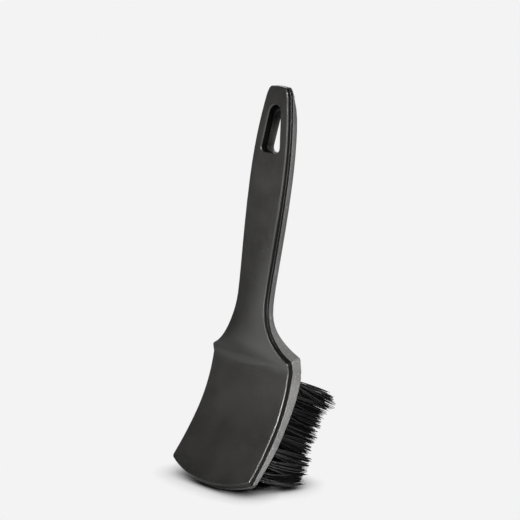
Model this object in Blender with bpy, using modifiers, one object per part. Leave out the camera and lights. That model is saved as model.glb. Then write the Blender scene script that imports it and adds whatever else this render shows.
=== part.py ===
"""A short-handled wheel brush, standing on the end of its head and on its lowest bristles.

World frame: metres, +Z up, floor at Z = 0. The smooth back faces -Y and the bristles point to +Y.
The body is symmetric about X = 0, and the origin is on the floor under the middle of the brush.

Two moulded pieces make the body: one is handle and bristle board in one, and the other is a thin
cover over its whole back. Every tuft of bristles is folded over one long wire, which lies across
the holes in a recess under the cover.

Both pieces are laid out on the flattened back, as (across, up, depth): across from the middle, up
along the back from the end of the head, and depth below the smooth face. on_brush() bends that
onto the side profile. In the brush frame the grip is upright, and the empty "stance" leans it.
"""

import math

import bmesh
import bpy
from mathutils import Matrix, Vector
from mathutils.geometry import interpolate_bezier

LEAN = math.radians(9.7)

# Side profile of the back, from the end of the head up: the length of each stretch, and how far
# the face leans forward from the grip's line at its lower and its upper end, in degrees.
PROFILE = (
    (0.0382, 33.7, 22.6),  # lower head
    (0.0382, 22.6, -0.4),  # upper head, up to the crease
    (0.0053, -20.5, -20.5),  # slope above the crease
    (0.0249, -20.5, 0.0),  # neck
    (0.1334, 0.0, 0.0),  # grip
)
CREASE_UP = PROFILE[0][0] + PROFILE[1][0]
CREASE_LEAN = math.radians((PROFILE[1][2] + PROFILE[2][1]) / 2)
LENGTH = sum(stretch[0] for stretch in PROFILE)

# Outline of the back, as half widths and distances up
END_HALF_WIDTH = 0.0346
END_RISE = 0.0078
CREASE_HALF_WIDTH = 0.0331
SHOULDER_UP = 0.0799
NECK_HALF_WIDTH = 0.0121
NECK_UP = 0.1164
GRIP_HALF_WIDTH = 0.01465
GRIP_UP = 0.1840
TIP_HALF_WIDTH = 0.0096
TIP_UP = 0.2330
CORNER = 0.0018
TIP_CORNER = 0.0042

# Cover and handle body. Each table holds (distance up, value) pairs. The crown is how far the
# middle of the cover stands out from its edges, and the slant flattens the back edge at the tip.
COVER_THICKNESS = ((0.0, 0.0033), (0.078, 0.0035), (0.115, 0.0040))
COVER_EDGE_RADIUS = 0.0009
FLAT = ((0.0, 0.0),)
CROWN = ((0.076, 0.0), (0.091, 0.0019), (0.108, 0.0017), (0.130, 0.0012), (0.190, 0.0))
RIM_HEIGHT = 0.0011
RIM_STEP = ((0.080, 0.0), (0.115, 0.00025))
SEAM_GAP = 0.0003
SEAM_CHAMFER = 0.0002
GRIP_DEPTH = 0.0102
BACK_DEPTH = (
    (0.0, 0.0064), (0.040, 0.0092), (0.070, 0.0112), (0.081, 0.0112), (0.100, 0.0096), (0.115, GRIP_DEPTH),
)
BACK_EDGE_RADIUS = ((0.080, 0.0010), (0.115, 0.0044), (0.215, 0.0044), (0.236, 0.0056))
TIP_SLANT = ((0.224, 0.0), (0.237, 0.80))

# Hollow in the grip, open towards the cover
HOLLOW_HALF_WIDTH = 0.0080
HOLLOW_LOW, HOLLOW_HIGH = 0.126, 0.190
HOLLOW_CORNER = 0.0030
HOLLOW_DEPTH = 0.0032

# Hang slot. The handle body's opening is a little smaller than the cover's, most of all at its top.
SLOT_LOW, SLOT_HIGH = 0.2008, 0.2284
SLOT_LOW_HALF_WIDTH = 0.0075
SLOT_HIGH_HALF_WIDTH = 0.0048
SLOT_CORNER = 0.0034
SLOT_TOP_RISE = 0.0045
SLOT_EDGE_RADIUS = 0.0010
SLOT_SIDE_LEDGE = 0.0004
SLOT_TOP_LEDGE = 0.0028

# Pegs on the cover, as (across, up), and their sockets in the handle body
MIDDLE_PEGS = ((0.0, 0.0920), (0.0, 0.1190), (0.0, 0.1960), (0.0, 0.2345))
SIDE_PEGS = ((0.0180, 0.0078), (0.0240, 0.0805))
PEG_RADIUS = 0.0014
PEG_LENGTH = 0.0016
PEG_CLEARANCE = 0.0003

# Bristle board: a raised pad on the bristle side, and a recess for the wire on the cover side
PAD_HALF_WIDTH = 0.0311
PAD_LOW, PAD_HIGH = 0.0115, 0.0750
PAD_HEIGHT = 0.0025
PAD_CORNER = 0.0025
PAD_CHAMFER = 0.0006
RECESS_HALF_WIDTH = 0.0309
RECESS_LOW, RECESS_HIGH = 0.0118, 0.0746
RECESS_CORNER = 0.0025
RECESS_DEPTH = 0.0020

# Tufts. They are drilled parallel, in straight rows and columns, and trimmed flat.
ROWS, COLUMNS = 8, 7
DRILL_ANGLE = math.radians(28.0) - LEAN
ROW_PITCH, COLUMN_PITCH = 0.0082, 0.0090
LOWEST_ROW_UP = 0.0139
TRIM_ALONG = 0.0422
TUFT_RADIUS = 0.00225
TIP_RADIUS = 0.0037
HOLE_RADIUS = 0.0027

# The lowest rows lie on the floor: how far their tips are pushed up, and half the height left.
TIP_LIFT = (0.0063, 0.0034, 0.0011)
TIP_HALF_HEIGHT = (0.0024, 0.0026, 0.0030)

# Wire, and the fold of each tuft that holds it
WIRE_RADIUS = 0.00035
WIRE_CLEARANCE = 0.0003
WIRE_OVERHANG = 0.0029
FOLD_RISE = 0.0010
FOLD_RADIUS = 0.0014
FOLD_EYE_RADIUS = 0.00075

# How finely round shapes are divided
CROWN_STEPS = 4
EDGE_STEPS = 3
BACK_EDGE_STEPS = 4
TUFT_SIDES = 8
FREE_STEPS = 2
HOLE_SIDES = 10
PEG_SIDES = 12
EYE_SIDES = 6

CUT_MARGIN = 0.0010


def eased(table, up):
    """The table's value at a distance up, eased from each entry to the next."""
    if up <= table[0][0]:
        return table[0][1]
    for (low, start), (high, end) in zip(table, table[1:]):
        if up < high:
            share = (up - low) / (high - low)
            return start + (end - start) * share * share * (3 - 2 * share)
    return table[-1][1]


def cover_depth(up):
    return eased(COVER_THICKNESS, up)


def seam_depth(up):
    return cover_depth(up) + SEAM_GAP


def back_depth(up):
    return eased(BACK_DEPTH, up)


def pad_depth(up):
    return back_depth(up) + PAD_HEIGHT


def wire_depth(up):
    return seam_depth(up) + RECESS_DEPTH - WIRE_CLEARANCE - WIRE_RADIUS


def face_frame(up):
    """The back's centre line at a distance up: Y, Z and how far the face leans forward there."""
    y = z = lean = 0.0
    left = up
    for length, low, high in PROFILE:
        run = min(left, length)
        start = math.radians(low)
        lean = start + math.radians(high - low) * run / length
        half_turn = (lean - start) / 2
        chord = run * math.sin(half_turn) / half_turn if abs(half_turn) > 1e-9 else run
        y += chord * math.sin((start + lean) / 2)
        z += chord * math.cos((start + lean) / 2)
        left -= run
        if left <= 0:
            break
    if abs(up - CREASE_UP) < 1e-6:
        lean = CREASE_LEAN
    return y, z, lean


def on_brush(across, up, depth):
    """A point of the flattened back, in the brush frame."""
    y, z, lean = face_frame(up)
    return Vector((across, y + depth * math.cos(lean), z - depth * math.sin(lean)))


def drilled(across, up, along):
    """A brush-frame point given along the drilling direction and across it, upwards."""
    y = along * math.cos(DRILL_ANGLE) + up * math.sin(DRILL_ANGLE)
    z = up * math.cos(DRILL_ANGLE) - along * math.sin(DRILL_ANGLE)
    return Vector((across, y, z))


def along_at(row_up, depth_at):
    """How far along the drilling direction a row meets the layer depth_at(up) below the face."""
    low, high = 0.0, CREASE_UP
    for _ in range(40):
        middle = (low + high) / 2
        point = on_brush(0.0, middle, depth_at(middle))
        if point.y * math.sin(DRILL_ANGLE) + point.z * math.cos(DRILL_ANGLE) < row_up:
            low = middle
        else:
            high = middle
    return point.y * math.cos(DRILL_ANGLE) - point.z * math.sin(DRILL_ANGLE)


def curve_points(stretches):
    """Points along cubic stretches, each given as start, two handles, end and pieces."""
    points = []
    for start, start_handle, end_handle, end, pieces in stretches:
        found = interpolate_bezier(start, start_handle, end_handle, end, pieces + 1)
        points += found[1:] if points else found
    return [Vector(point[:2]) for point in points]


def straight(start, end, pieces):
    start, end = Vector(start), Vector(end)
    return start, start.lerp(end, 1 / 3), start.lerp(end, 2 / 3), end, pieces


def body_outline():
    """Right half of the back's outline, from the middle of the head's end up to the tip."""
    up = Vector((0.0, 1.0))
    end_slope = Vector((0.900, 0.436))
    flare_slope = Vector((-0.891, 0.454))
    tip_slope = Vector((-0.210, 0.978))
    middle = Vector((0.0, 0.0))
    end = Vector((END_HALF_WIDTH - 0.9 * CORNER, END_RISE - 0.25 * CORNER))
    side = Vector((END_HALF_WIDTH, END_RISE + CORNER))
    crease = Vector((CREASE_HALF_WIDTH, CREASE_UP))
    shoulder = Vector((CREASE_HALF_WIDTH - 0.0001, SHOULDER_UP))
    flare = shoulder + Vector((-0.8 * CORNER, 1.2 * CORNER))
    neck = Vector((NECK_HALF_WIDTH, NECK_UP))
    grip = Vector((GRIP_HALF_WIDTH, GRIP_UP))
    tip = Vector((TIP_HALF_WIDTH, TIP_UP))
    top = Vector((TIP_HALF_WIDTH - TIP_CORNER, LENGTH - 0.0003))
    return curve_points((
        (middle, Vector((0.0115, 0.0)), end - 0.0115 * end_slope, end, 10),
        (end, end + 0.5 * CORNER * end_slope, side - 0.6 * CORNER * up, side, 3),
        straight(side, crease, 18),
        straight(crease, shoulder, 1),
        (shoulder, shoulder + 0.7 * CORNER * up, flare - 0.5 * CORNER * flare_slope, flare, 3),
        (flare, flare + 0.0095 * flare_slope, neck - 0.018 * up, neck, 12),
        (neck, neck + 0.015 * up, grip - 0.030 * up, grip, 6),
        (grip, grip + 0.022 * up, tip - 0.012 * tip_slope, tip, 7),
        (tip, tip + 0.0034 * tip_slope, top + Vector((0.0022, 0.0)), top, 5),
        straight(top, (0.0, LENGTH), 1),
    ))


def rounded_rectangle(half_width, low, high, corner, side_pieces):
    """Right half of a rounded rectangle's outline, from its bottom middle to its top middle."""
    near = 0.45 * corner
    inner, outer = half_width - corner, half_width
    return curve_points((
        straight((0.0, low), (inner, low), 1),
        ((inner, low), (outer - near, low), (outer, low + near), (outer, low + corner), 3),
        straight((outer, low + corner), (outer, high - corner), side_pieces),
        ((outer, high - corner), (outer, high - near), (outer - near, high), (inner, high), 3),
        straight((inner, high), (0.0, high), 1),
    ))


def slot_outline(side_ledge, top_ledge):
    """Right half of the hang slot's outline: flat below, tapering up to a round top."""
    low, high = SLOT_LOW + side_ledge, SLOT_HIGH - top_ledge
    wide, narrow = SLOT_LOW_HALF_WIDTH - side_ledge, SLOT_HIGH_HALF_WIDTH - side_ledge
    inner = Vector((wide - SLOT_CORNER, low))
    side = Vector((wide, low + SLOT_CORNER))
    shoulder = Vector((narrow, high - SLOT_TOP_RISE))
    rise = (shoulder - side).normalized()
    top = Vector((0.0, high))
    return curve_points((
        straight((0.0, low), inner, 1),
        (inner, inner + Vector((0.6 * SLOT_CORNER, 0.0)), side - 0.6 * SLOT_CORNER * rise, side, 4),
        straight(side, shoulder, 1),
        (shoulder, shoulder + 0.55 * SLOT_TOP_RISE * rise, top + Vector((0.55 * narrow, 0.0)), top, 6),
    ))


def inward_normals(outline):
    """At each point of a right half outline, the direction into the shape, mitred at corners."""
    normals = [Vector((0.0, 1.0))]
    for before, point, after in zip(outline, outline[1:], outline[2:]):
        arriving, leaving = (point - before).normalized(), (after - point).normalized()
        heading = (arriving + leaving).normalized()
        normals.append(Vector((-heading.y, heading.x)) / max(heading.dot(leaving), 0.8))
    return normals + [Vector((0.0, -1.0))]


def skin(name, rows, closed):
    """A mesh through rows of points: a tube with its ends filled, or an open sheet. Its faces look
    out when each row runs up the right side and the rows go deeper."""
    mesh = bmesh.new()
    grid = [[mesh.verts.new(point) for point in row] for row in rows]
    count = len(rows[0])
    for row, following in zip(grid, grid[1:]):
        for i in range(count if closed else count - 1):
            j = (i + 1) % count
            mesh.faces.new((row[i], following[i], following[j], row[j]))
    if closed:
        mesh.faces.new(grid[0])
        mesh.faces.new(reversed(grid[-1]))
    bmesh.ops.remove_doubles(mesh, verts=mesh.verts, dist=1e-7)
    data = bpy.data.meshes.new(name)
    mesh.to_mesh(data)
    mesh.free()
    return data


def plate_half(name, outline, layers, crown=FLAT):
    """Right half of a bent plate, open at X = 0. Each layer gives the inset from the outline and
    the depth at a distance up, from the edge of the upper face round to the edge of the lower.
    crown is a table of how far the middle of the upper face stands out."""
    normals = inward_normals(outline)
    rows = []
    for layer in layers:
        row = []
        for point, normal in zip(outline, normals):
            inset, depth = layer(point.y)
            place = point + normal * inset
            row.append((max(place.x, 0.0), place.y, depth))
        rows.append(row)

    def face_row(share):
        rise = 1 - share * share
        return [(across * share, up, depth - rise * eased(crown, up)) for across, up, depth in rows[0]]

    steps = 1 if crown == FLAT else CROWN_STEPS
    upper = [face_row(step / steps) for step in range(steps)]
    lower = [(0.0, up, depth) for _, up, depth in rows[-1]]
    rows = [*upper, *rows, lower]
    return skin(name, [[on_brush(*point) for point in row] for row in rows], closed=False)


def pocket_layers(depth):
    """A square-edged pocket of this depth, open at the seam."""
    return [
        lambda up: (0.0, seam_depth(up) - CUT_MARGIN),
        lambda up: (0.0, seam_depth(up) + depth),
    ]


def cover_layers():
    """The cover: a rounded edge at the face, a rim that stands out on the grip, and the seam chamfer."""

    def rounded_edge(up, turn):
        inset = eased(RIM_STEP, up) + COVER_EDGE_RADIUS * (1 - math.sin(turn))
        return inset, COVER_EDGE_RADIUS * (1 - math.cos(turn))

    def under_rim(up):
        step = eased(RIM_STEP, up)
        return step, cover_depth(up) - RIM_HEIGHT - step

    layers = []
    for step in range(EDGE_STEPS + 1):
        turn = math.pi / 2 * step / EDGE_STEPS
        layers.append(lambda up, turn=turn: rounded_edge(up, turn))
    layers.append(under_rim)
    layers.append(lambda up: (0.0, cover_depth(up) - RIM_HEIGHT))
    layers.append(lambda up: (0.0, cover_depth(up) - SEAM_CHAMFER))
    layers.append(lambda up: (SEAM_CHAMFER, cover_depth(up)))
    return layers


def body_layers():
    """The handle body: a small chamfer at the seam and an edge that is rounder along the grip."""

    def rounded_edge(up, turn):
        radius, slant = eased(BACK_EDGE_RADIUS, up), eased(TIP_SLANT, up)
        straight_share = slant * 2 * turn / math.pi
        inset = (1 - slant) * (1 - math.cos(turn)) + straight_share
        drop = (1 - slant) * math.sin(turn) + straight_share
        return radius * inset, back_depth(up) - radius * (1 - drop)

    layers = [
        lambda up: (SEAM_CHAMFER, seam_depth(up)),
        lambda up: (0.0, seam_depth(up) + SEAM_CHAMFER),
    ]
    for step in range(BACK_EDGE_STEPS + 1):
        turn = math.pi / 2 * step / BACK_EDGE_STEPS
        layers.append(lambda up, turn=turn: rounded_edge(up, turn))
    return layers


def pad_layers():
    """The raised pad: it starts inside the handle body and has a chamfered rim."""
    return [
        lambda up: (0.0, back_depth(up) - 2 * CUT_MARGIN),
        lambda up: (0.0, pad_depth(up) - PAD_CHAMFER),
        lambda up: (PAD_CHAMFER, pad_depth(up)),
    ]


def material(name, colour, roughness, metallic=0.0):
    made = bpy.data.materials.new(name)
    made.use_nodes = True
    shader = made.node_tree.nodes["Principled BSDF"]
    shader.inputs["Base Color"].default_value = (*colour, 1.0)
    shader.inputs["Roughness"].default_value = roughness
    shader.inputs["Metallic"].default_value = metallic
    return made


def finish(obj, name, colour, roughness, metallic=0.0):
    obj.data.materials.clear()
    obj.data.materials.append(material(name, colour, roughness, metallic))
    obj.data.shade_smooth()
    obj.data.set_sharp_from_angle(angle=math.radians(35))


def add_object(name, data, collection, stance):
    obj = bpy.data.objects.new(name, data)
    collection.objects.link(obj)
    obj.parent = stance
    return obj


def add_cutter(name, data, collection, stance):
    cutter = add_object(name, data, collection, stance)
    cutter.hide_render = True
    cutter.display_type = "WIRE"
    return cutter


def add_mirror(obj):
    mirror = obj.modifiers.new("both_halves", "MIRROR")
    mirror.use_clip = True
    mirror.merge_threshold = 0.00001


def add_plate_cutter(name, outline, layers, collection, stance):
    """A cutter shaped like a bent plate, both halves of it."""
    cutter = add_cutter(name, plate_half(name, outline, layers), collection, stance)
    add_mirror(cutter)
    return cutter


def add_boolean(obj, other, operation):
    boolean = obj.modifiers.new(other.name, "BOOLEAN")
    boolean.operation = operation
    boolean.solver = "EXACT"
    boolean.object = other


def on_face(across, up, depth):
    """A frame whose +Z points out of the smooth face, at a place below that face."""
    lean = face_frame(up)[2]
    return Matrix.Translation(on_brush(across, up, depth)) @ Matrix.Rotation(math.pi / 2 - lean, 4, "X")


def cylinders(name, places, radius, length, sides):
    """One mesh of equal cylinders, each centred on a place and along its Z axis."""
    mesh = bmesh.new()
    for place in places:
        bmesh.ops.create_cone(
            mesh, cap_ends=True, segments=sides, radius1=radius, radius2=radius, depth=length, matrix=place
        )
    data = bpy.data.meshes.new(name)
    mesh.to_mesh(data)
    mesh.free()
    return data


def peg_places(depth):
    sides = [(sign * across, up) for across, up in SIDE_PEGS for sign in (-1, 1)]
    return [on_face(across, up, depth(up)) for across, up in (*MIDDLE_PEGS, *sides)]


def peg_mesh():
    root = 2 * CUT_MARGIN
    places = peg_places(lambda up: cover_depth(up) + (PEG_LENGTH - root) / 2)
    return cylinders("cover_pegs", places, PEG_RADIUS, PEG_LENGTH + root, PEG_SIDES)


def socket_mesh():
    length = PEG_LENGTH + PEG_CLEARANCE + CUT_MARGIN
    places = peg_places(lambda up: cover_depth(up) + PEG_LENGTH + PEG_CLEARANCE - length / 2)
    return cylinders("peg_sockets", places, PEG_RADIUS + PEG_CLEARANCE, length, PEG_SIDES)


def slot_layers(mouth_depth, into):
    """A slot cutter that starts with a rounded mouth. into is 1 where the mouth opens on the smooth
    face and -1 where it opens on the bristle side."""
    layers = [(-SLOT_EDGE_RADIUS - CUT_MARGIN, mouth_depth - into * CUT_MARGIN)]
    for step in range(EDGE_STEPS):
        turn = math.pi / 2 * (step + 0.5) / EDGE_STEPS
        inset = -SLOT_EDGE_RADIUS * (1 - math.sin(turn))
        layers.append((inset, mouth_depth + into * SLOT_EDGE_RADIUS * (1 - math.cos(turn))))
    layers.append((0.0, mouth_depth + into * (SLOT_EDGE_RADIUS + GRIP_DEPTH)))
    if into < 0:
        layers.reverse()
    return [lambda up, layer=layer: layer for layer in layers]


def row_up(row):
    """How far up across the drilling direction a row lies. Row 0 is the lowest."""
    return LOWEST_ROW_UP + row * ROW_PITCH


def column_across(column):
    return (column - (COLUMNS - 1) / 2) * COLUMN_PITCH


def hole_mesh():
    """The holes through the bristle board."""
    length = TRIM_ALONG
    places = []
    for row in range(ROWS):
        along = along_at(row_up(row), seam_depth) - CUT_MARGIN + length / 2
        for column in range(COLUMNS):
            centre = drilled(column_across(column), row_up(row), along)
            places.append(Matrix.Translation(centre) @ Matrix.Rotation(math.pi / 2 - DRILL_ANGLE, 4, "X"))
    return cylinders("tuft_holes", places, HOLE_RADIUS, length, HOLE_SIDES)


def tuft_mesh(row):
    """One tuft of a row, from the top of its fold to its trimmed tips."""
    lift = TIP_LIFT[row] if row < len(TIP_LIFT) else 0.0
    half_height = TIP_HALF_HEIGHT[row] if row < len(TIP_HALF_HEIGHT) else TIP_RADIUS
    wire = along_at(row_up(row), wire_depth)
    board = along_at(row_up(row), pad_depth)
    stations = [
        (wire - FOLD_RISE, 0.0, FOLD_RADIUS, FOLD_RADIUS),
        (wire + FOLD_RISE, 0.0, TUFT_RADIUS, TUFT_RADIUS),
    ]
    for step in range(FREE_STEPS + 1):
        share = step / FREE_STEPS
        along = board + (TRIM_ALONG - board) * share
        wide = TUFT_RADIUS + (TIP_RADIUS - TUFT_RADIUS) * share
        high = TUFT_RADIUS + (half_height - TUFT_RADIUS) * share
        stations.append((along, lift * share * share, wide, high))
    rings = []
    for along, rise, wide, high in stations:
        ring = []
        for side in range(TUFT_SIDES):
            turn = 2 * math.pi * (side + 0.5) / TUFT_SIDES
            ring.append(drilled(wide * math.cos(turn), row_up(row) + rise + high * math.sin(turn), along))
        rings.append(ring)
    return skin(f"tuft_row_{row + 1}", rings, closed=True)


def eye_cutter(row, collection, stance):
    """A bar along the row that opens the eye in each tuft's fold for the wire."""
    centre = drilled(0.0, row_up(row), along_at(row_up(row), wire_depth))
    place = Matrix.Translation(centre) @ Matrix.Rotation(math.pi / 2, 4, "Y")
    data = cylinders(f"fold_eyes_{row + 1}", [place], FOLD_EYE_RADIUS, 4 * RECESS_HALF_WIDTH, EYE_SIDES)
    return add_cutter(data.name, data, collection, stance)


def wire_curve():
    """The wire: along each row in turn, and round to the next row at alternate ends."""
    reach = column_across(COLUMNS - 1) + WIRE_OVERHANG
    points = []
    for row in range(ROWS):
        along = along_at(row_up(row), wire_depth)
        ends = (-reach, reach) if row % 2 == 0 else (reach, -reach)
        points += [drilled(end, row_up(row), along) for end in ends]
    curve = bpy.data.curves.new("draw_wire", "CURVE")
    curve.dimensions = "3D"
    curve.bevel_depth = WIRE_RADIUS
    curve.bevel_resolution = 2
    curve.use_fill_caps = True
    spline = curve.splines.new("POLY")
    spline.points.add(len(points) - 1)
    for point, place in zip(spline.points, points):
        point.co = (*place, 1.0)
    return curve


def make_cover(parts, cutters, stance):
    shell = plate_half("back_cover", body_outline(), cover_layers(), CROWN)
    cover = add_object("back_cover", shell, parts, stance)
    add_mirror(cover)
    add_boolean(cover, add_cutter("cover_pegs", peg_mesh(), cutters, stance), "UNION")
    slot = add_plate_cutter("cover_slot", slot_outline(0.0, 0.0), slot_layers(0.0, 1), cutters, stance)
    add_boolean(cover, slot, "DIFFERENCE")
    finish(cover, "cover_plastic", (0.038, 0.038, 0.038), 0.45)


def make_handle_body(parts, cutters, stance):
    core = plate_half("handle_body", body_outline(), body_layers())
    body = add_object("handle_body", core, parts, stance)
    add_mirror(body)

    outline = rounded_rectangle(PAD_HALF_WIDTH, PAD_LOW, PAD_HIGH, PAD_CORNER, 10)
    pad = add_plate_cutter("bristle_pad", outline, pad_layers(), cutters, stance)
    add_boolean(body, pad, "UNION")

    outline = rounded_rectangle(RECESS_HALF_WIDTH, RECESS_LOW, RECESS_HIGH, RECESS_CORNER, 12)
    recess = add_plate_cutter("wire_recess", outline, pocket_layers(RECESS_DEPTH), cutters, stance)
    add_boolean(body, recess, "DIFFERENCE")

    outline = rounded_rectangle(HOLLOW_HALF_WIDTH, HOLLOW_LOW, HOLLOW_HIGH, HOLLOW_CORNER, 1)
    hollow = add_plate_cutter("grip_hollow", outline, pocket_layers(HOLLOW_DEPTH), cutters, stance)
    add_boolean(body, hollow, "DIFFERENCE")

    add_boolean(body, add_cutter("peg_sockets", socket_mesh(), cutters, stance), "DIFFERENCE")
    add_boolean(body, add_cutter("tuft_holes", hole_mesh(), cutters, stance), "DIFFERENCE")

    outline = slot_outline(SLOT_SIDE_LEDGE, SLOT_TOP_LEDGE)
    slot = add_plate_cutter("body_slot", outline, slot_layers(GRIP_DEPTH, -1), cutters, stance)
    add_boolean(body, slot, "DIFFERENCE")
    finish(body, "handle_plastic", (0.075, 0.075, 0.075), 0.55)


def make_wire(parts, stance):
    wire = add_object("draw_wire", wire_curve(), parts, stance)
    wire.data.materials.append(material("wire_steel", (0.60, 0.60, 0.60), 0.30, 1.0))


def make_tufts(parts, cutters, stance):
    for row in range(ROWS):
        mesh = tuft_mesh(row)
        eye = eye_cutter(row, cutters, stance)
        for column in range(COLUMNS):
            name = f"tuft_r{row + 1}_c{column + 1}"
            tuft = add_object(name, mesh, parts, stance)
            tuft.location.x = column_across(column)
            add_boolean(tuft, eye, "DIFFERENCE")
        finish(tuft, f"bristles_row_{row + 1}", (0.008, 0.008, 0.009), 0.60)


def stand_on_floor(stance, parts):
    """Leans the brush, puts its lowest point on the floor and its middle over the origin."""
    lean = Matrix.Rotation(-LEAN, 4, "X")
    meshes = [obj.data for obj in parts.objects if obj.type == "MESH"]
    points = [lean @ vertex.co for mesh in meshes for vertex in mesh.vertices]
    depths = [point.y for point in points]
    stance.rotation_euler = (-LEAN, 0.0, 0.0)
    stance.location = (0.0, -(min(depths) + max(depths)) / 2, -min(point.z for point in points))


def collection_named(name):
    collection = bpy.data.collections.new(name)
    bpy.context.scene.collection.children.link(collection)
    return collection


def main():
    for obj in list(bpy.data.objects):
        bpy.data.objects.remove(obj)
    parts = collection_named("wheel_brush")
    cutters = collection_named("cutters")
    stance = bpy.data.objects.new("stance", None)
    parts.objects.link(stance)
    make_cover(parts, cutters, stance)
    make_handle_body(parts, cutters, stance)
    make_wire(parts, stance)
    make_tufts(parts, cutters, stance)
    stand_on_floor(stance, parts)


main()
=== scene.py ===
"""Looks of a short-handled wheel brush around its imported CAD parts: plastics, bristles and studio.

Metres, +Z up, floor at Z = 0. The smooth back of the brush faces -Y and its bristles point to +Y.
The cover, the handle body and the wire stay CAD. Each CAD tuft is replaced by a bundle of filaments.
Azimuths are in degrees round the brush: 0 is on the side of its smooth back, at -Y, and 90 is at +X.
"""

import math

import bpy
import numpy as np
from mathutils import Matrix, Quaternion, Vector


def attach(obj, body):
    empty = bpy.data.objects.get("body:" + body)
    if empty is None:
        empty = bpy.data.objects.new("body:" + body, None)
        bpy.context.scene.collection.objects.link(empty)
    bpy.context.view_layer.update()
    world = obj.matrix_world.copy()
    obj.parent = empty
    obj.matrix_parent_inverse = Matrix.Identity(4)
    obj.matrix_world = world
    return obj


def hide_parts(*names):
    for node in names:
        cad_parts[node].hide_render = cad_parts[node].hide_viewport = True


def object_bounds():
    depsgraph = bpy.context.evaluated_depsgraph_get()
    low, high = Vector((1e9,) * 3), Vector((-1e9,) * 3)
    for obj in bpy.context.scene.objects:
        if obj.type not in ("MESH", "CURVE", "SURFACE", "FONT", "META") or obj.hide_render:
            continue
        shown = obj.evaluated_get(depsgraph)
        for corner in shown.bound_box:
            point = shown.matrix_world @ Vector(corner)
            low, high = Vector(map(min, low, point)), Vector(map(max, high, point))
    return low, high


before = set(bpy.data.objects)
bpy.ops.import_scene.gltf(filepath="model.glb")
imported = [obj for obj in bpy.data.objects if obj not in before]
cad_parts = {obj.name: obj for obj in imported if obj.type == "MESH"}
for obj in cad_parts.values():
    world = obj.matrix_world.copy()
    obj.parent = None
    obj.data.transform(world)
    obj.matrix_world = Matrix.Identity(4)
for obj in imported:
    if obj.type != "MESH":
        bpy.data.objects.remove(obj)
cad_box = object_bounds()

MM = 0.001
SEED = 7

# Camera, at the photograph's viewing angle, in degrees. It looks AIM away from the middle of the brush.
CAMERA_AZIMUTH, CAMERA_ELEVATION, CAMERA_ROLL = 48.11, 12.50, 0.20
CAMERA_DISTANCE = 1.2178
CAMERA_LENS = 144.46
AIM = Vector((0.0016, 0.0067, 0.0146))

# Softboxes aimed at the middle of the brush: azimuth, elevation, distance, width, height and watts.
SOFTBOXES = {
    "front": (-8, 4, 0.7, 0.25, 0.6, 1.0),
    "front_right": (15, 4, 0.7, 0.25, 0.6, 0.3),
    "right": (101, 10, 0.9, 0.22, 0.8, 10.5),
    "back": (222, 20, 1.0, 0.8, 0.5, 4.5),
}
# Spotlights: azimuth, elevation, distance, width of the beam at its target, lamp radius, watts, and
# the target: in half widths of the brush, in metres behind its middle, and in heights of the brush.
SPOTLIGHTS = {
    "neck_spot": (30, 35, 0.45, 0.20, 0.06, 17.0, (0.0, 0.010, 0.75)),
    "head_spot": (62, 14, 0.80, 0.13, 0.06, 150.0, (1.45, -0.012, 0.17)),
}

# Studio: how pale the backdrop and the floor look, how far the floor's painted contact shadow reaches
# round the brush, and how strongly the room lights the brush from the front and from behind.
WHITE = (1.0, 1.0, 1.0)
PALE = 0.896
FLOOR_SIDE = 16.0
CONTACT_REACH = 0.016
ROOM_FRONT, ROOM_BACK = 0.05, 0.18

# How strongly the floor lights the brush, as (azimuth, level), within NEAR_FLOOR of it and beyond.
# Level 1 is as bright as the floor looks.
NEAR_FLOOR = 0.35
GLOW_NEAR = (
    (-180, 0.5), (-110, 0.3), (-95, 0.02), (-58, 0.02), (-50, 1.7), (-38, 1.7), (-22, 2.6), (4, 2.6),
    (20, 1.0), (50, 0.8), (75, 1.0), (105, 1.0), (118, 0.3), (180, 0.5),
)
GLOW_FAR = (
    (-180, 0.5), (-110, 0.3), (-95, 0.02), (-34, 0.02), (-22, 3.2), (4, 3.2),
    (20, 1.2), (50, 1.2), (75, 2.8), (105, 2.8), (118, 0.3), (180, 0.5),
)

# Plastics: the two shades that cloudy patches drift between, then that of specks and of pale edges,
# which are partly wear and partly a painted highlight.
# The side walls of the cover get a darker painted shade of their own, as if in shadow.
COVER_SHADES = (0.0125, 0.0121, 0.0115), (0.0175, 0.0170, 0.0162), (0.032, 0.031, 0.030)
BODY_SHADES = (0.042, 0.0415, 0.041), (0.060, 0.059, 0.057), (0.15, 0.148, 0.145)
COVER_SIDE_PAINTED_SHADE = (0.0025, 0.0025, 0.0025)
STEEL_SHADES = (0.42, 0.42, 0.43), (0.62, 0.62, 0.63)
EDGE_WEAR_AND_HIGHLIGHT_WIDTH = 0.35 * MM
PLAIN_GLOSS = 0.5

# Patterns, in features a metre. The specks' scale is a share of the grain's.
CLOUD_SCALE = 45.0
STREAK_SCALE = 700.0
SPECK_SCALE = 0.6
WIRE_LINE_SCALE = 2000.0
BRISTLE_BAND_SCALE = 900.0

# Painted shade: narrow gaps and the hang slot are coloured darker than open faces and reflect less.
# The underside of the head, which fades out between the two heights of UNDERSIDE_END, is close to the
# pale floor and keeps only part of that painted shade.
CREVICE_PAINTED_SHADE = (0.003, 0.003, 0.003)
PAINTED_SHADE_REACH = 14 * MM
UNDERSIDE_END = (14 * MM, 20 * MM)
UNDERSIDE_OPEN = 0.6

# Filaments have shades between the first two. The third is that of faint bands along them.
BRISTLE_SHADES = (0.0002, 0.0002, 0.0002), (0.0024, 0.0024, 0.0026), (0.0045, 0.0045, 0.0047)

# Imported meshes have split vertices, which are welded. Edges sharper than SHARP_ANGLE stay sharp.
WELD_DISTANCE = 0.002 * MM
SHARP_ANGLE = math.radians(30)

# Filaments of one tuft: thin tubes with a station at the fold and FREE_STATIONS from the board to the
# tip, where they narrow to TIP_TAPER of their radius.
FILAMENTS = 120
FILAMENT_RADIUS = 0.21 * MM
FILAMENT_SIDES = 4
FREE_STATIONS = 7
TIP_TAPER = 0.55

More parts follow.
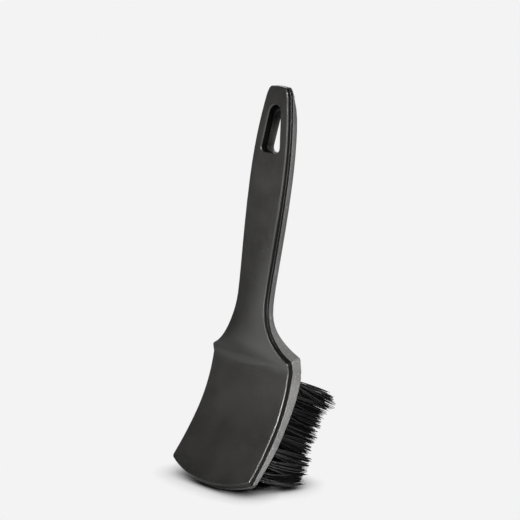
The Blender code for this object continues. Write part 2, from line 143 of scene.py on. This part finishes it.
# How a tuft opens: its width at the fold, as a share of that where it leaves the board, and at the
# tips, as a share of the CAD tuft's there. It opens earlier with a smaller OPENING.
FOLD_WIDTH = 0.6
TIP_WIDTH = 1.55
OPENING = 0.75

# Filaments are pulled by a share of CLUMP_PULL to the middles of clumps, which lie within CLUMP_DISC
# of the tuft's radius and differ in place and reach. Strays stick out. Each filament waves a little:
# WAVE_TURN is how far its wave turns from the board to the tip.
CLUMPS = 14
CLUMP_DISC = 0.95
CLUMP_PULL = (0.05, 0.45)
REACH_DISORDER = 0.9 * MM
TIP_DISORDER = 0.35 * MM
DISC_DISORDER = 0.05
STRAYS = 4
STRAY_LEAN = 1.3 * MM
STRAY_REACH = 2.0 * MM
WAVE_SIZE = 0.16 * MM
WAVE_TURN = 5.0

# How far the tips of the outer tufts lean out. The lowest rows are pressed on the floor: they spread
# more, and their outer tufts reach less far. The top row spreads more too, and droops. Bundles are
# longer than the CAD tufts by TUFT_EXCESS, and the top row by twice that.
SIDE_SPLAY = 0.9 * MM
TOP_SIDE_SPLAY = 2.5 * MM
TOP_DROOP = 2.2 * MM
FLOOR_SPLAY = 8.0 * MM
FLOOR_SHORTENING = 6.5 * MM
TUFT_EXCESS = 1.0 * MM
PRESSED_ROWS = 3
FLOOR_SOFTNESS = 0.35 * MM


def node_tree(owner):
    owner.use_nodes = True
    return owner.node_tree


def add_node(tree, kind, **inputs):
    """A node with its inputs set by name. Underscores stand for spaces."""
    node = tree.nodes.new(kind)
    for name, value in inputs.items():
        feed(tree, node.inputs[name.replace("_", " ")], value)
    return node


def feed(tree, socket, value):
    """Gives an input a node's output, or an RGB colour, or another plain value."""
    if isinstance(value, bpy.types.NodeSocket):
        tree.links.new(value, socket)
    elif socket.type == "RGBA":
        socket.default_value = (*value, 1.0)
    else:
        socket.default_value = value


def noise(tree, scale, detail=2.0, roughness=0.5, stretch=(1.0, 1.0, 1.0)):
    """Noise in the object's own metres: scale is features a metre."""
    place = tree.nodes.new("ShaderNodeTexCoord").outputs["Object"]
    mapped = add_node(tree, "ShaderNodeMapping", Vector=place, Scale=stretch).outputs["Vector"]
    made = add_node(
        tree, "ShaderNodeTexNoise", Vector=mapped, Scale=scale, Detail=detail, Roughness=roughness
    )
    return made.outputs["Fac"]


def ramp(tree, value, span, result=(0.0, 1.0)):
    """Turns a value that goes through span into one that goes through result, and stays at its ends."""
    made = add_node(
        tree, "ShaderNodeMapRange", Value=value,
        From_Min=span[0], From_Max=span[1], To_Min=result[0], To_Max=result[1],
    )
    return made.outputs["Result"]


def mix_colour(tree, share, first, second):
    """The first colour where share is 0, and the second where it is 1."""
    made = tree.nodes.new("ShaderNodeMix")
    made.data_type = "RGBA"
    first_colour, second_colour = made.inputs[6:8]
    feed(tree, made.inputs["Factor"], share)
    feed(tree, first_colour, first)
    feed(tree, second_colour, second)
    return made.outputs[2]


def maths(tree, operation, first, second=0.0):
    made = tree.nodes.new("ShaderNodeMath")
    made.operation = operation
    feed(tree, made.inputs[0], first)
    feed(tree, made.inputs[1], second)
    return made.outputs[0]


def separated(tree, vector):
    """The X, Y and Z of a node's output."""
    return add_node(tree, "ShaderNodeSeparateXYZ", Vector=vector).outputs


def surface_parts(tree, output):
    """The X, Y and Z of the shaded point's Position or Normal."""
    return separated(tree, tree.nodes.new("ShaderNodeNewGeometry").outputs[output])


def worn_and_highlit_edges(tree):
    """1 along edges, 0 on plain faces: how far a rounded edge's normal is from the face's own. Edges are
    painted paler there, partly as wear and partly as a painted highlight.
    """
    rounded = add_node(tree, "ShaderNodeBevel", Radius=EDGE_WEAR_AND_HIGHLIGHT_WIDTH)
    rounded.samples = 4
    product = tree.nodes.new("ShaderNodeVectorMath")
    product.operation = "DOT_PRODUCT"
    feed(tree, product.inputs[0], rounded.outputs["Normal"])
    feed(tree, product.inputs[1], tree.nodes.new("ShaderNodeNewGeometry").outputs["Normal"])
    return ramp(tree, product.outputs["Value"], (0.985, 0.80))


def underside(tree):
    """UNDERSIDE_OPEN on the low underside that the head stands on, and 0 elsewhere. It lifts part of the
    painted shade of gaps and side walls there.
    """
    downward = ramp(tree, surface_parts(tree, "Normal")["Z"], (-0.60, -0.35), (UNDERSIDE_OPEN, 0.0))
    low = ramp(tree, surface_parts(tree, "Position")["Z"], UNDERSIDE_END, (1.0, 0.0))
    return maths(tree, "MULTIPLY", downward, low)


def painted_shade_openness(tree):
    """Where painted shade falls: 0 deep in a narrow gap or slot, 1 on open faces."""
    shade = add_node(tree, "ShaderNodeAmbientOcclusion", Distance=PAINTED_SHADE_REACH)
    shade.samples = 8
    return maths(tree, "MAXIMUM", ramp(tree, shade.outputs["AO"], (0.60, 0.95)), underside(tree))


def painted_side_share(tree):
    """Where the sides get their painted shade: 1 on side walls, 0 on the face, and between them on the
    underside of the head.
    """
    turned = ramp(tree, surface_parts(tree, "Normal")["Y"], (-0.50, -0.20))
    return maths(tree, "MULTIPLY", turned, maths(tree, "SUBTRACT", 1.0, underside(tree)))


def moulded_plastic(name, shades, roughness, grain, grain_depth):
    """Moulded plastic: fine grain, faint cloudy patches, pale specks, edges painted paler as wear and as a
    painted highlight, and painted shade in gaps.
    """
    dark, light, speck_wear_and_highlight = shades
    made = bpy.data.materials.new(name)
    tree = node_tree(made)
    shader = tree.nodes["Principled BSDF"]
    clouds = noise(tree, CLOUD_SCALE, detail=4.0, roughness=0.6)
    fine = noise(tree, grain, detail=3.0, roughness=0.65)
    streaks = noise(tree, STREAK_SCALE, stretch=(1.0, 1.0, 0.06))
    specks = ramp(tree, noise(tree, SPECK_SCALE * grain, detail=1.0), (0.66, 0.72))
    patches = mix_colour(tree, ramp(tree, clouds, (0.35, 0.65)), dark, light)
    speckled = mix_colour(tree, specks, patches, speck_wear_and_highlight)
    # Edges are painted paler: partly wear, partly a painted highlight.
    wear_and_highlight = maths(tree, "MULTIPLY", worn_and_highlit_edges(tree), ramp(tree, fine, (0.35, 0.70), (0.45, 0.85)))
    # Painted shade: gaps and the slot are coloured darker and reflect less.
    open_share = painted_shade_openness(tree)
    colour = mix_colour(tree, open_share, CREVICE_PAINTED_SHADE, mix_colour(tree, wear_and_highlight, speckled, speck_wear_and_highlight))
    feed(tree, shader.inputs["Base Color"], colour)
    feed(tree, shader.inputs["Specular IOR Level"], maths(tree, "MULTIPLY", open_share, PLAIN_GLOSS))
    patchy = ramp(tree, clouds, (0.3, 0.7), (roughness - 0.05, roughness + 0.06))
    streaky = ramp(tree, streaks, (0.3, 0.7), (-0.03, 0.03))
    feed(tree, shader.inputs["Roughness"], maths(tree, "ADD", patchy, streaky))
    bump = add_node(tree, "ShaderNodeBump", Strength=1.0, Distance=grain_depth, Height=fine)
    feed(tree, shader.inputs["Normal"], bump.outputs["Normal"])
    return made


def paint_side_shade(material, colour, roughness, gloss):
    """Paints shade on the side walls of a piece: colours them darker than its grained face, as if in
    shadow, makes them smoother, and dulls them to gloss times the face's reflection."""
    tree = material.node_tree
    shader = tree.nodes["Principled BSDF"]
    share = painted_side_share(tree)
    face_colour, face_roughness, face_gloss = (
        shader.inputs[name].links[0].from_socket
        for name in ("Base Color", "Roughness", "Specular IOR Level")
    )
    change = maths(tree, "MULTIPLY", maths(tree, "SUBTRACT", roughness, face_roughness), share)
    dulling = ramp(tree, share, (0.0, 1.0), (1.0, gloss))
    feed(tree, shader.inputs["Base Color"], mix_colour(tree, share, face_colour, colour))
    feed(tree, shader.inputs["Roughness"], maths(tree, "ADD", face_roughness, change))
    feed(tree, shader.inputs["Specular IOR Level"], maths(tree, "MULTIPLY", face_gloss, dulling))


def drawn_steel():
    """Steel with fine lines along X, the way most of the wire runs."""
    made = bpy.data.materials.new("drawn_steel")
    tree = node_tree(made)
    shader = tree.nodes["Principled BSDF"]
    lines = noise(tree, WIRE_LINE_SCALE, stretch=(0.05, 1.0, 1.0))
    feed(tree, shader.inputs["Metallic"], 1.0)
    feed(tree, shader.inputs["Base Color"], mix_colour(tree, lines, *STEEL_SHADES))
    feed(tree, shader.inputs["Roughness"], ramp(tree, lines, (0.3, 0.7), (0.25, 0.42)))
    return made


def bristle_plastic():
    """Black filaments: each has its own shade, gloss and roughness, with faint bands along it."""
    made = bpy.data.materials.new("bristle_filament")
    tree = node_tree(made)
    shader = tree.nodes["Principled BSDF"]
    darkest, lightest, band = BRISTLE_SHADES
    own = tree.nodes.new("ShaderNodeNewGeometry").outputs["Random Per Island"]
    bands = noise(tree, BRISTLE_BAND_SCALE)
    band_share = ramp(tree, bands, (0.4, 0.7), (0.0, 0.4))
    colour = mix_colour(tree, band_share, mix_colour(tree, own, darkest, lightest), band)
    own_roughness = ramp(tree, own, (0.0, 1.0), (0.34, 0.50))
    band_roughness = ramp(tree, bands, (0.3, 0.7), (-0.04, 0.04))
    feed(tree, shader.inputs["Base Color"], colour)
    feed(tree, shader.inputs["Specular IOR Level"], ramp(tree, own, (0.4, 1.0), (0.02, 0.38)))
    feed(tree, shader.inputs["Roughness"], maths(tree, "ADD", own_roughness, band_roughness))
    return made


def clean_shading():
    """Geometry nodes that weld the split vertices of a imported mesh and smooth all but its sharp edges."""
    group = bpy.data.node_groups.new("clean_shading", "GeometryNodeTree")
    group.interface.new_socket("Geometry", in_out="INPUT", socket_type="NodeSocketGeometry")
    group.interface.new_socket("Geometry", in_out="OUTPUT", socket_type="NodeSocketGeometry")
    start = group.nodes.new("NodeGroupInput")
    weld = add_node(group, "GeometryNodeMergeByDistance", Distance=WELD_DISTANCE)
    smooth = add_node(group, "GeometryNodeSetShadeSmooth", Shade_Smooth=True)
    angle = group.nodes.new("GeometryNodeInputMeshEdgeAngle")
    compare = group.nodes.new("FunctionNodeCompare")
    compare.operation = "GREATER_THAN"
    compare.inputs[1].default_value = SHARP_ANGLE
    sharp = add_node(group, "GeometryNodeSetShadeSmooth", Shade_Smooth=False)
    sharp.domain = "EDGE"
    end = group.nodes.new("NodeGroupOutput")
    group.links.new(start.outputs[0], weld.inputs["Geometry"])
    group.links.new(weld.outputs["Geometry"], smooth.inputs["Geometry"])
    group.links.new(smooth.outputs["Geometry"], sharp.inputs["Geometry"])
    group.links.new(angle.outputs["Unsigned Angle"], compare.inputs[0])
    group.links.new(compare.outputs["Result"], sharp.inputs["Selection"])
    group.links.new(sharp.outputs["Geometry"], end.inputs[0])
    return group


def dress_cad_node(name, material, shading):
    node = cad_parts[name]
    node.data.materials.clear()
    node.data.materials.append(material)
    node.modifiers.new("clean_shading", "NODES").node_group = shading
    node.modifiers.new("even_normals", "WEIGHTED_NORMAL").keep_sharp = True


def vertices_of(name):
    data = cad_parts[name].data
    points = np.empty(len(data.vertices) * 3)
    data.vertices.foreach_get("co", points)
    return points.reshape(-1, 3)


def drilling_axes(name):
    """The direction a straight tuft points in, and the upward direction across it."""
    points = vertices_of(name)
    along = np.linalg.svd(points - points.mean(axis=0), full_matrices=False)[2][0]
    along = along * np.sign(along[1])
    return along, np.array((0.0, -along[2], along[1]))


def tuft_rings(name, along, up):
    """Where the CAD tuft starts, leaves the board, and ends: distance along, middle and half sizes.
    A CAD tuft is a stack of rings, and the last three are at the board, half way out, and at the end."""
    points = vertices_of(name)
    places = points @ along
    found = np.unique(np.round(places, 4))
    rings = []
    for place in (found[0], found[-3], found[-1]):
        ring = points[np.abs(places - place) < 0.1 * MM]
        flat = np.stack((ring[:, 0], ring @ up), axis=1)
        lowest, highest = flat.min(axis=0), flat.max(axis=0)
        rings.append((place, (lowest + highest) / 2, (highest - lowest) / 2))
    return rings


def disc_points(count, random):
    """Points spread evenly over a unit disc, with some disorder."""
    steps = np.arange(count) + 0.5
    radii = np.sqrt(steps / count)
    golden_angle = math.pi * (3 - math.sqrt(5))
    turns = steps * golden_angle + random.uniform(0, 2 * math.pi)
    points = np.stack((radii * np.cos(turns), radii * np.sin(turns)), axis=1)
    return points + random.normal(0.0, DISC_DISORDER, points.shape)


def filament_ends(root, tip_half, splay, shortening, random):
    """Where a tuft's filaments end: places across the tuft, and lengths past the end of the CAD tuft."""
    clump_middles = disc_points(CLUMPS, random) * CLUMP_DISC
    clump = np.argmin(np.linalg.norm(root[:, None] - clump_middles[None], axis=2), axis=1)
    clump_reach = random.normal(0.0, REACH_DISORDER, CLUMPS)
    clump_drift = random.normal(0.0, TIP_DISORDER, (CLUMPS, 2))
    pull = random.uniform(*CLUMP_PULL, (FILAMENTS, 1))
    gathered = root * (1 - pull) + clump_middles[clump] * pull
    tips = gathered * tip_half * TIP_WIDTH + clump_drift[clump]
    tips += random.normal(0.0, TIP_DISORDER, (FILAMENTS, 2))
    reach = clump_reach[clump] + random.normal(0.0, REACH_DISORDER, FILAMENTS) - shortening
    stray = random.choice(FILAMENTS, STRAYS, replace=False)
    tips[stray] += random.normal(0.0, STRAY_LEAN, (STRAYS, 2))
    reach[stray] += random.uniform(0.0, STRAY_REACH, STRAYS)
    return tips + splay, reach


def filament_paths(rings, along, up, splay, shortening, random):
    """Centre lines of one tuft's filaments, as an array (filament, station, xyz)."""
    (fold, fold_middle, _), (exit_at, exit_middle, exit_half), (tip, tip_middle, tip_half) = rings
    root = disc_points(FILAMENTS, random)
    tips, reach = filament_ends(root, tip_half, splay, shortening, random)
    wave = random.normal(0.0, WAVE_SIZE, (FILAMENTS, 2))
    phase = random.uniform(0, 2 * math.pi, FILAMENTS)
    folded = fold_middle + root * exit_half * FOLD_WIDTH
    paths = [np.concatenate((np.full((FILAMENTS, 1), fold), folded), axis=1)]
    for share in np.linspace(0.0, 1.0, FREE_STATIONS):
        middle = exit_middle + (tip_middle - exit_middle) * share * share
        opened = math.sin(share * math.pi / 2) ** OPENING
        offset = root * exit_half * (1 - opened) + tips * opened
        offset += wave * (np.sin(WAVE_TURN * share + phase) * share)[:, None]
        distance = exit_at + (tip + reach - exit_at) * share
        paths.append(np.concatenate((distance[:, None], middle + offset), axis=1))
    local = np.stack(paths, axis=1)
    place = local[..., :1] * along + local[..., 2:] * up
    place[..., 0] += local[..., 1]
    return rest_on_floor(place)


def rest_on_floor(points):
    """Presses points that would be below the floor up onto it, softly."""
    lowest = 1.2 * FILAMENT_RADIUS
    above = (points[..., 2] - lowest) / 2
    points[..., 2] = lowest + above + np.sqrt(above ** 2 + FLOOR_SOFTNESS ** 2)
    return points


def tubes(paths, radii):
    """Vertices and faces of closed tubes along paths (tube, station, xyz), with a radius per station."""
    count, stations = paths.shape[:2]
    heading = np.gradient(paths, axis=1)
    heading /= np.linalg.norm(heading, axis=2, keepdims=True)
    side = np.cross(heading, (0.0, 0.0, 1.0))
    side /= np.linalg.norm(side, axis=2, keepdims=True)
    other = np.cross(side, heading)
    turns = 2 * math.pi * np.arange(FILAMENT_SIDES) / FILAMENT_SIDES
    rims = side[:, :, None] * np.cos(turns)[:, None] + other[:, :, None] * np.sin(turns)[:, None]
    vertices = paths[:, :, None] + rims * radii[None, :, None, None]
    rim = np.arange(FILAMENT_SIDES)
    following = (rim + 1) % FILAMENT_SIDES
    tube_faces = []
    for station in range(stations - 1):
        low, high = station * FILAMENT_SIDES, (station + 1) * FILAMENT_SIDES
        quads = np.stack((low + rim, low + following, high + following, high + rim), axis=1)
        tube_faces += quads.tolist()
    tube_faces += [rim[::-1].tolist(), ((stations - 1) * FILAMENT_SIDES + rim).tolist()]
    faces = []
    for tube in range(count):
        first = tube * stations * FILAMENT_SIDES
        faces += [[first + corner for corner in face] for face in tube_faces]
    return vertices.reshape(-1, 3), faces


def add_object(name, data):
    made = bpy.data.objects.new(name, data)
    bpy.context.scene.collection.objects.link(made)
    return made


def make_bundle(name, splay, shortening, along, up, material, random):
    paths = filament_paths(tuft_rings(name, along, up), along, up, splay, shortening, random)
    radii = np.full(paths.shape[1], FILAMENT_RADIUS)
    radii[-1] *= TIP_TAPER
    vertices, faces = tubes(paths, radii)
    data = bpy.data.meshes.new(f"bundle_{name}")
    data.from_pydata(vertices.tolist(), [], faces)
    data.shade_smooth()
    data.materials.append(material)
    bundle = add_object(f"bundle_{name}", data)
    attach(bundle, "root")
    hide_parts(name)


def make_bristles():
    """One bundle for each CAD tuft. Names say the row, from 1 at the floor, and the column."""
    names = sorted(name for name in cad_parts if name.startswith("tuft_"))
    rows = max(int(name.split("_")[1][1:]) for name in names)
    columns = max(int(name.split("_")[2][1:]) for name in names)
    middle_column = (columns + 1) / 2
    along, up = drilling_axes(f"tuft_r{rows}_c{int(middle_column)}")
    material = bristle_plastic()
    random = np.random.default_rng(SEED)
    for name in names:
        row, column = (int(part[1:]) for part in name.split("_")[1:])
        outward = (column - middle_column) / (columns - middle_column)
        top = 1 if row == rows else 0
        pressed = max(0.0, 1 - (row - 1) / PRESSED_ROWS)
        sideways = (SIDE_SPLAY + TOP_SIDE_SPLAY * top + FLOOR_SPLAY * pressed) * outward ** 3
        splay = np.array((sideways, -TOP_DROOP * top))
        shortening = FLOOR_SHORTENING * pressed ** 2 * abs(outward) - TUFT_EXCESS * (1 + top)
        make_bundle(name, splay, shortening, along, up, material, random)


def place_round(obj, azimuth, elevation, distance, target):
    """Puts a light or the camera round its target, looking at it. The two angles are in degrees."""
    azimuth, elevation = math.radians(azimuth), math.radians(elevation)
    flat = math.cos(elevation)
    away = Vector((math.sin(azimuth) * flat, -math.cos(azimuth) * flat, math.sin(elevation)))
    obj.location = target + away * distance
    obj.rotation_mode = "QUATERNION"
    obj.rotation_quaternion = (-away).to_track_quat("-Z", "Y")


def add_light(data, azimuth, elevation, distance, power, target):
    data.energy = power
    light = add_object(data.name, data)
    light.visible_camera = False
    place_round(light, azimuth, elevation, distance, target)


def softbox(name, azimuth, elevation, distance, width, height, power, target):
    data = bpy.data.lights.new(name, "AREA")
    data.shape = "RECTANGLE"
    data.size, data.size_y = width, height
    add_light(data, azimuth, elevation, distance, power, target)


def spotlight(name, azimuth, elevation, distance, beam, radius, power, target):
    """A round light with a soft-edged beam, which is beam wide where it meets the target."""
    data = bpy.data.lights.new(name, "SPOT")
    data.spot_size = 2 * math.atan(beam / 2 / distance)
    data.spot_blend = 1.0
    data.shadow_soft_size = radius
    add_light(data, azimuth, elevation, distance, power, target)


def make_lights(middle):
    for name, setting in SOFTBOXES.items():
        softbox(name, *setting, middle)
    half_width, _, height = cad_box[1]
    for name, (*setting, (across, behind, up)) in SPOTLIGHTS.items():
        target = Vector((across * half_width, middle.y + behind, up * height))
        spotlight(name, *setting, target)


def blended(tree, azimuth, levels):
    """The level at an azimuth in radians, from a table of (degrees, level) from -180 to 180."""
    curve = add_node(tree, "ShaderNodeValToRGB", Fac=ramp(tree, azimuth, (-math.pi, math.pi)))
    stops = curve.color_ramp.elements
    for degrees, level in levels[1:-1]:
        stops.new(degrees / 360 + 0.5).color = (level, level, level, 1.0)
    for stop, (_, level) in ((stops[0], levels[0]), (stops[-1], levels[-1])):
        stop.color = (level, level, level, 1.0)
    return curve.outputs["Color"]


def floor_glow(tree, middle):
    """How strongly a place on the floor lights the brush."""
    place = surface_parts(tree, "Position")
    across = place["X"]
    forward = maths(tree, "SUBTRACT", middle.y, place["Y"])
    azimuth = maths(tree, "ARCTAN2", across, forward)
    squares = (maths(tree, "MULTIPLY", way, way) for way in (across, forward))
    distance = maths(tree, "SQRT", maths(tree, "ADD", *squares))
    far_share = ramp(tree, distance, (0.8 * NEAR_FLOOR, 1.2 * NEAR_FLOOR))
    near, far = blended(tree, azimuth, GLOW_NEAR), blended(tree, azimuth, GLOW_FAR)
    return mix_colour(tree, far_share, near, far)


def camera_sees(tree):
    """1 for what the camera sees, and 0 for what lights the brush."""
    return tree.nodes.new("ShaderNodeLightPath").outputs["Is Camera Ray"]


def pale_floor(middle):
    """Looks as bright as the backdrop, with a painted contact shadow close to the brush, however it is
    lit. It lights the brush by the glow tables."""
    made = bpy.data.materials.new("pale_floor")
    tree = node_tree(made)
    tree.nodes.remove(tree.nodes["Principled BSDF"])
    # Painted contact shadow: the floor is dimmed close to the brush.
    contact = add_node(tree, "ShaderNodeAmbientOcclusion", Distance=CONTACT_REACH)
    contact.samples = 16
    shade = ramp(tree, contact.outputs["AO"], (0.25, 1.0), (0.0, PALE))
    seen = camera_sees(tree)
    glow = maths(tree, "MULTIPLY", maths(tree, "SUBTRACT", 1.0, seen), floor_glow(tree, middle))
    strength = maths(tree, "MULTIPLY", maths(tree, "ADD", seen, glow), shade)
    pale = add_node(tree, "ShaderNodeEmission", Color=WHITE, Strength=strength)
    feed(tree, tree.nodes["Material Output"].inputs["Surface"], pale.outputs["Emission"])
    return made


def make_floor(middle):
    half = FLOOR_SIDE / 2
    corners = [(-half, -half, 0), (half, -half, 0), (half, half, 0), (-half, half, 0)]
    data = bpy.data.meshes.new("floor")
    data.from_pydata(corners, [], [(0, 1, 2, 3)])
    data.materials.append(pale_floor(middle))
    add_object("floor", data)


def make_world():
    """The camera sees an even pale backdrop. The brush is lit by a dim room, dimmest in front."""
    world = bpy.data.worlds.new("studio")
    bpy.context.scene.world = world
    tree = node_tree(world)
    backward = separated(tree, tree.nodes.new("ShaderNodeTexCoord").outputs["Generated"])["Y"]
    room = tree.nodes["Background"]
    feed(tree, room.inputs["Color"], WHITE)
    feed(tree, room.inputs["Strength"], ramp(tree, backward, (-0.3, 0.8), (ROOM_FRONT, ROOM_BACK)))
    backdrop = add_node(tree, "ShaderNodeBackground", Color=(PALE, PALE, PALE))
    mixed = add_node(tree, "ShaderNodeMixShader", Fac=camera_sees(tree))
    feed(tree, mixed.inputs[1], room.outputs["Background"])
    feed(tree, mixed.inputs[2], backdrop.outputs["Background"])
    feed(tree, tree.nodes["World Output"].inputs["Surface"], mixed.outputs["Shader"])


def make_camera(middle):
    camera = add_object("camera", bpy.data.cameras.new("camera"))
    place_round(camera, CAMERA_AZIMUTH, CAMERA_ELEVATION, CAMERA_DISTANCE, middle + AIM)
    camera.rotation_quaternion @= Quaternion((0.0, 0.0, 1.0), math.radians(CAMERA_ROLL))
    camera.data.lens = CAMERA_LENS
    camera.data.clip_start = 0.01
    bpy.context.scene.camera = camera


def main():
    middle = (cad_box[0] + cad_box[1]) / 2
    cover = moulded_plastic(
        "cover_moulding", COVER_SHADES, roughness=0.40, grain=2600.0, grain_depth=0.010 * MM
    )
    # Painted shade: the cover's side walls are coloured darker than its face, by the way they face.
    paint_side_shade(cover, COVER_SIDE_PAINTED_SHADE, roughness=0.30, gloss=0.3)
    body = moulded_plastic(
        "body_moulding", BODY_SHADES, roughness=0.50, grain=1900.0, grain_depth=0.016 * MM
    )
    shading = clean_shading()
    dress_cad_node("back_cover", cover, shading)
    dress_cad_node("handle_body", body, shading)
    dress_cad_node("draw_wire", drawn_steel(), shading)
    make_bristles()
    make_floor(middle)
    make_world()
    make_lights(middle)
    make_camera(middle)
    bpy.context.scene.view_settings.view_transform = "Standard"


main()
